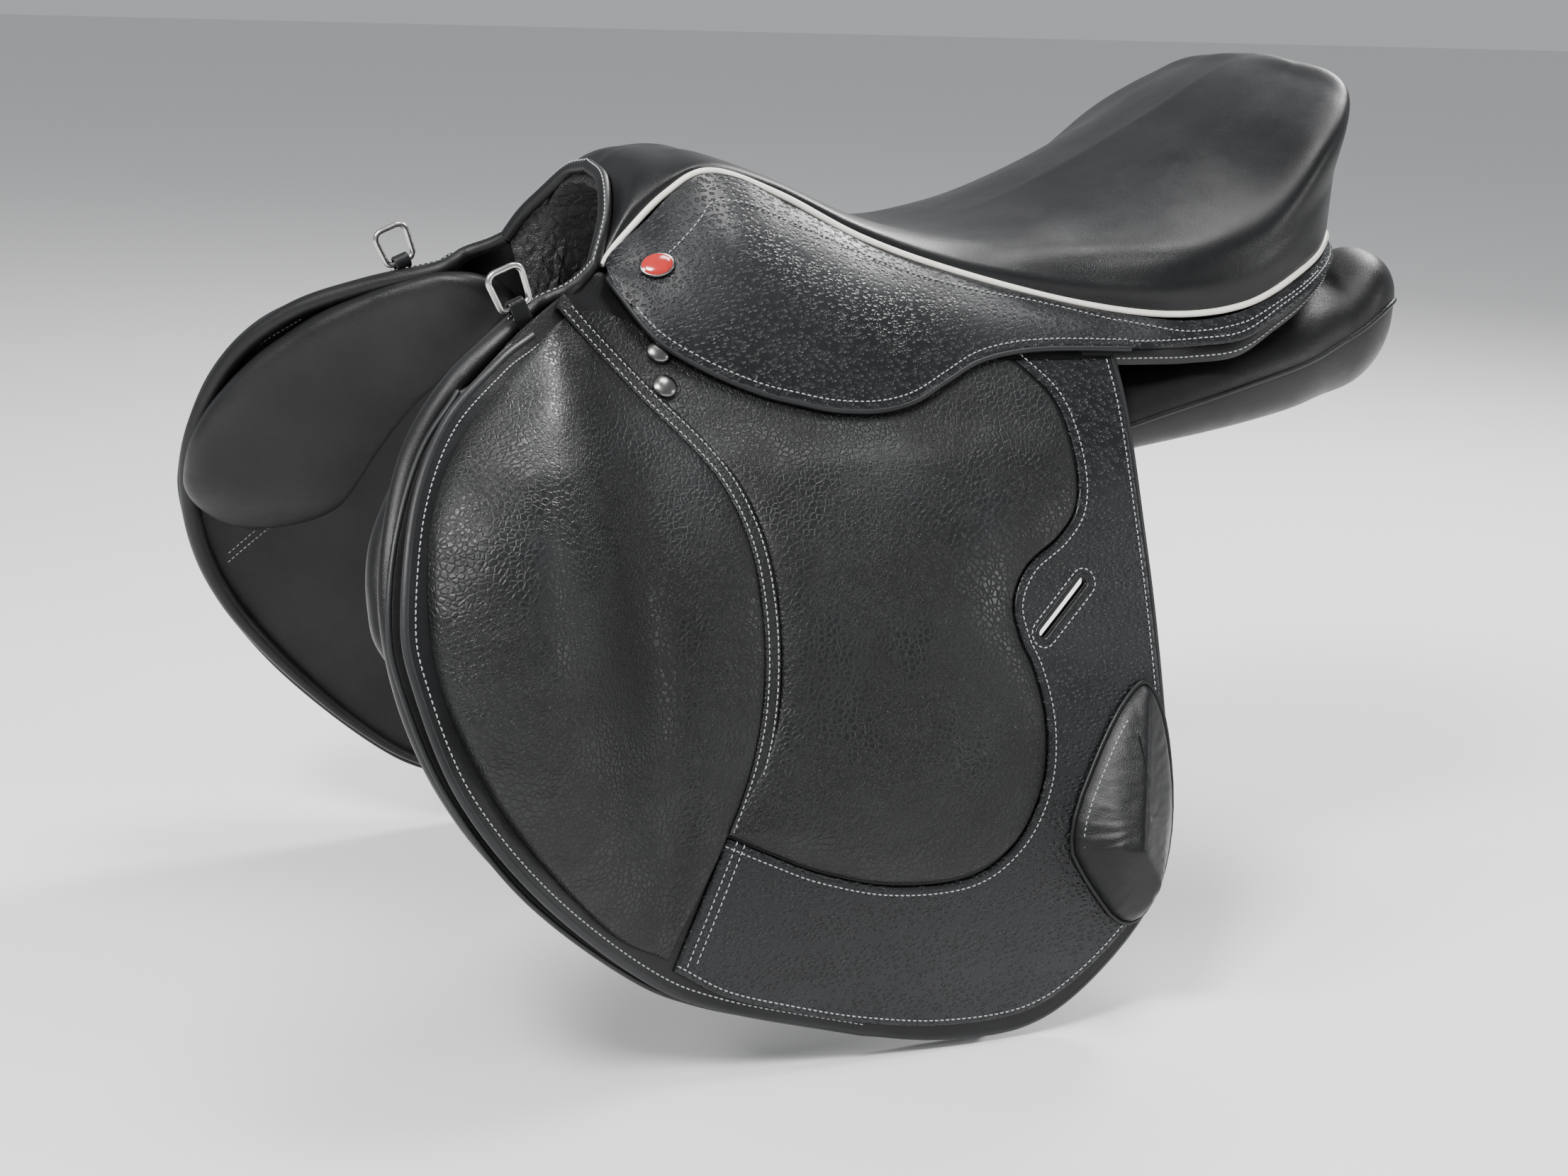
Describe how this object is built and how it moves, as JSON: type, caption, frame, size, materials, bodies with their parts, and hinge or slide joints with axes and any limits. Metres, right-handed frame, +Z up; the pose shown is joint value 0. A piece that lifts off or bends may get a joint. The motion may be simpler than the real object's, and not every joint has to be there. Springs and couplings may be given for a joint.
{
  "type": "english saddle",
  "caption": "English jumping saddle with padded flaps, knee and calf blocks, skirts, panels, girth straps and stirrup bars on a sprung tree.",
  "frame": {"origin": "on the centre line, at the level of the panels' inner edges under the deepest point of the seat", "axes": "+Z up, -X towards the pommel, -Y towards the near (left) side"},
  "size_m": [0.6551, 0.5074, 0.5076],
  "materials": {
    "calf_leather": "satin smooth calf",
    "grained_leather": "pebbled grain, satin",
    "printed_leather": "perforated print, satin",
    "lining_leather": "soft matte",
    "cream_piping": "smooth cream",
    "badge_enamel": "gloss red enamel",
    "satin_nickel": "satin",
    "steel": "brushed",
    "beech": "bare laminated beech",
    "seat_padding": "foam",
    "webbing": "woven flat webbing"
  },
  "bodies": {
    "root": {"tree_head": "beech", "gullet_lining": "lining_leather", "near_tree_rail": "beech", "off_tree_rail": "beech", "tree_cantle": "beech", "seat_cover": "calf_leather", "seat_foam": "seat_padding", "seat_web": "webbing", "seat_welt": "cream_piping", "arch_binding": "calf_leather", "girth_web_front": "webbing", "girth_web_rear": "webbing", "near_stirrup_bar": "steel", "near_bar_rivet_1": "steel", "near_bar_rivet_2": "steel", "near_catch_pin": "steel", "near_skirt_top": "printed_leather", "near_badge": "badge_enamel", "near_panel": "calf_leather", "near_front_roll": "calf_leather", "near_cantle_band": "calf_leather", "near_flap_head": "calf_leather", "near_sweat_flap": "lining_leather", "near_dee_tab": "calf_leather", "off_stirrup_bar": "steel", "off_bar_rivet_1": "steel", "off_bar_rivet_2": "steel", "off_catch_pin": "steel", "off_skirt_top": "printed_leather", "off_badge": "badge_enamel", "off_panel": "calf_leather", "off_front_roll": "calf_leather", "off_cantle_band": "calf_leather", "off_flap_head": "calf_leather", "off_sweat_flap": "lining_leather", "off_dee_tab": "calf_leather"},
    "near_flap_body": {"near_flap": "calf_leather", "near_flap_overlay": "printed_leather", "near_knee_pad": "grained_leather", "near_grip_pad": "grained_leather", "near_calf_block": "calf_leather", "near_flap_stud_1": "satin_nickel", "near_flap_stud_2": "satin_nickel"},
    "near_skirt_body": {"near_skirt": "printed_leather"},
    "near_front_billet_body": {"near_front_billet": "calf_leather"},
    "near_rear_billet_body": {"near_rear_billet": "calf_leather"},
    "near_catch_body": {"near_bar_catch": "steel"},
    "near_dee_body": {"near_dee_ring": "satin_nickel"},
    "off_flap_body": {"off_flap": "calf_leather", "off_flap_overlay": "printed_leather", "off_knee_pad": "grained_leather", "off_grip_pad": "grained_leather", "off_calf_block": "calf_leather", "off_flap_stud_1": "satin_nickel", "off_flap_stud_2": "satin_nickel"},
    "off_skirt_body": {"off_skirt": "printed_leather"},
    "off_front_billet_body": {"off_front_billet": "calf_leather"},
    "off_rear_billet_body": {"off_rear_billet": "calf_leather"},
    "off_catch_body": {"off_bar_catch": "steel"},
    "off_dee_body": {"off_dee_ring": "satin_nickel"}
  },
  "joints": [
    {"name": "near_flap_lift", "type": "hinge", "parent": "root", "child": "near_flap_body", "pos_m": [-0.188, -0.092, 0.05], "axis": [-0.9859, 0.1603, 0.0481], "range_deg": [0, 50]},
    {"name": "near_skirt_lift", "type": "hinge", "parent": "near_flap_body", "child": "near_skirt_body", "pos_m": [-0.188, -0.092, 0.05], "axis": [-0.9859, 0.1603, 0.0481], "range_deg": [0, 35]},
    {"name": "near_front_billet_swing", "type": "hinge", "parent": "root", "child": "near_front_billet_body", "pos_m": [-0.076, -0.10508, 0.02], "axis": [0, 1, 0], "range_deg": [-4, 4]},
    {"name": "near_rear_billet_swing", "type": "hinge", "parent": "root", "child": "near_rear_billet_body", "pos_m": [0.002, -0.11461, 0.02], "axis": [0, 1, 0], "range_deg": [-4, 4]},
    {"name": "near_catch_turn", "type": "hinge", "parent": "root", "child": "near_catch_body", "pos_m": [-0.092, -0.0875, 0.047], "axis": [0, -1, 0], "range_deg": [0, 80]},
    {"name": "near_dee_swing", "type": "hinge", "parent": "root", "child": "near_dee_body", "pos_m": [-0.248, -0.0953, 0.05], "axis": [-0.9207, 0, -0.3903], "range_deg": [-25, 25]},
    {"name": "off_flap_lift", "type": "hinge", "parent": "root", "child": "off_flap_body", "pos_m": [-0.188, 0.092, 0.05], "axis": [0.9859, 0.1603, -0.0481], "range_deg": [0, 50]},
    {"name": "off_skirt_lift", "type": "hinge", "parent": "off_flap_body", "child": "off_skirt_body", "pos_m": [-0.188, 0.092, 0.05], "axis": [0.9859, 0.1603, -0.0481], "range_deg": [0, 35]},
    {"name": "off_front_billet_swing", "type": "hinge", "parent": "root", "child": "off_front_billet_body", "pos_m": [-0.076, 0.10508, 0.02], "axis": [0, 1, 0], "range_deg": [-4, 4]},
    {"name": "off_rear_billet_swing", "type": "hinge", "parent": "root", "child": "off_rear_billet_body", "pos_m": [0.002, 0.11461, 0.02], "axis": [0, 1, 0], "range_deg": [-4, 4]},
    {"name": "off_catch_turn", "type": "hinge", "parent": "root", "child": "off_catch_body", "pos_m": [-0.092, 0.0875, 0.047], "axis": [0, -1, 0], "range_deg": [0, 80]},
    {"name": "off_dee_swing", "type": "hinge", "parent": "root", "child": "off_dee_body", "pos_m": [-0.248, 0.0953, 0.05], "axis": [-0.9207, 0, -0.3903], "range_deg": [-25, 25]}
  ]
}
